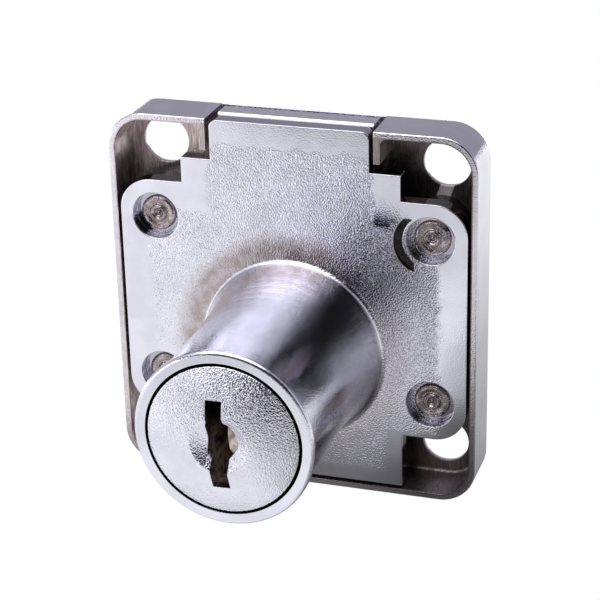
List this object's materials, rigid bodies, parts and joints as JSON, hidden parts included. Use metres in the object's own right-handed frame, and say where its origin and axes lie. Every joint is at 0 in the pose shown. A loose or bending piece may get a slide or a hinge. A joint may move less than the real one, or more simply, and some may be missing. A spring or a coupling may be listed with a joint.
{
  "type": "square-bolt drawer lock",
  "caption": "Square sheet-cased drawer lock: a keyed plug in a round barrel turns half a turn and lifts a flat bolt out of the top edge.",
  "frame": {"origin": "on the barrel axis, in the mounting face (front plate and case rim)", "axes": "-Y towards the key side along the barrel, +Z the way the bolt is thrown, +X to the right seen from the key side"},
  "size_m": [0.04, 0.03, 0.041],
  "materials": {
    "plated_sheet": "bright plated steel sheet, slightly warm",
    "chromed_casting": "bright chrome with fine orange peel",
    "rivet_steel": "satin nickel",
    "bolt_steel": "bright chrome",
    "chromed_plug": "bright chrome with fine orange peel",
    "cam_steel": "plain steel",
    "pin_steel": "ground steel",
    "clip_steel": "dark spring steel",
    "wafer_brass": "stamped brass",
    "spring_steel": "drawn spring wire"
  },
  "bodies": {
    "housing": {"rear_case": "plated_sheet", "front_body": "chromed_casting", "case_rivets": "rivet_steel"},
    "cylinder": {"plug": "chromed_plug", "drive_cam": "cam_steel", "drive_pin": "pin_steel", "retaining_clip": "clip_steel", "wafer_spring_1": "spring_steel", "wafer_spring_2": "spring_steel", "wafer_spring_3": "spring_steel", "wafer_spring_4": "spring_steel", "wafer_spring_5": "spring_steel", "wafer_spring_6": "spring_steel"},
    "sliding_bolt": {"bolt": "bolt_steel"},
    "wafer_1_body": {"wafer_1": "wafer_brass"},
    "wafer_2_body": {"wafer_2": "wafer_brass"},
    "wafer_3_body": {"wafer_3": "wafer_brass"},
    "wafer_4_body": {"wafer_4": "wafer_brass"},
    "wafer_5_body": {"wafer_5": "wafer_brass"},
    "wafer_6_body": {"wafer_6": "wafer_brass"}
  },
  "joints": [
    {"name": "plug_turn", "type": "hinge", "parent": "housing", "child": "cylinder", "pos_m": [0, 0, 0], "axis": [0, 1, 0], "range_deg": [0, 180]},
    {"name": "bolt_slide", "type": "slide", "parent": "housing", "child": "sliding_bolt", "axis": [0, 0, 1], "range_m": [0, 0.0084]},
    {"name": "wafer_1_slide", "type": "slide", "parent": "cylinder", "child": "wafer_1_body", "axis": [0, 0, -1], "range_m": [0, 0.0006], "stiffness_N_per_m": 30, "springref_m": 0.004, "deforming": ["wafer_spring_1"]},
    {"name": "wafer_2_slide", "type": "slide", "parent": "cylinder", "child": "wafer_2_body", "axis": [0, 0, 1], "range_m": [0, 0.0006], "stiffness_N_per_m": 30, "springref_m": 0.004, "deforming": ["wafer_spring_2"]},
    {"name": "wafer_3_slide", "type": "slide", "parent": "cylinder", "child": "wafer_3_body", "axis": [0, 0, -1], "range_m": [0, 0.0006], "stiffness_N_per_m": 30, "springref_m": 0.004, "deforming": ["wafer_spring_3"]},
    {"name": "wafer_4_slide", "type": "slide", "parent": "cylinder", "child": "wafer_4_body", "axis": [0, 0, 1], "range_m": [0, 0.0006], "stiffness_N_per_m": 30, "springref_m": 0.004, "deforming": ["wafer_spring_4"]},
    {"name": "wafer_5_slide", "type": "slide", "parent": "cylinder", "child": "wafer_5_body", "axis": [0, 0, -1], "range_m": [0, 0.0006], "stiffness_N_per_m": 30, "springref_m": 0.004, "deforming": ["wafer_spring_5"]},
    {"name": "wafer_6_slide", "type": "slide", "parent": "cylinder", "child": "wafer_6_body", "axis": [0, 0, 1], "range_m": [0, 0.0006], "stiffness_N_per_m": 30, "springref_m": 0.004, "deforming": ["wafer_spring_6"]}
  ],
  "couplings": [
    {"joint": "plug_turn", "follows": "bolt_slide", "rad_per_m": 374}
  ]
}
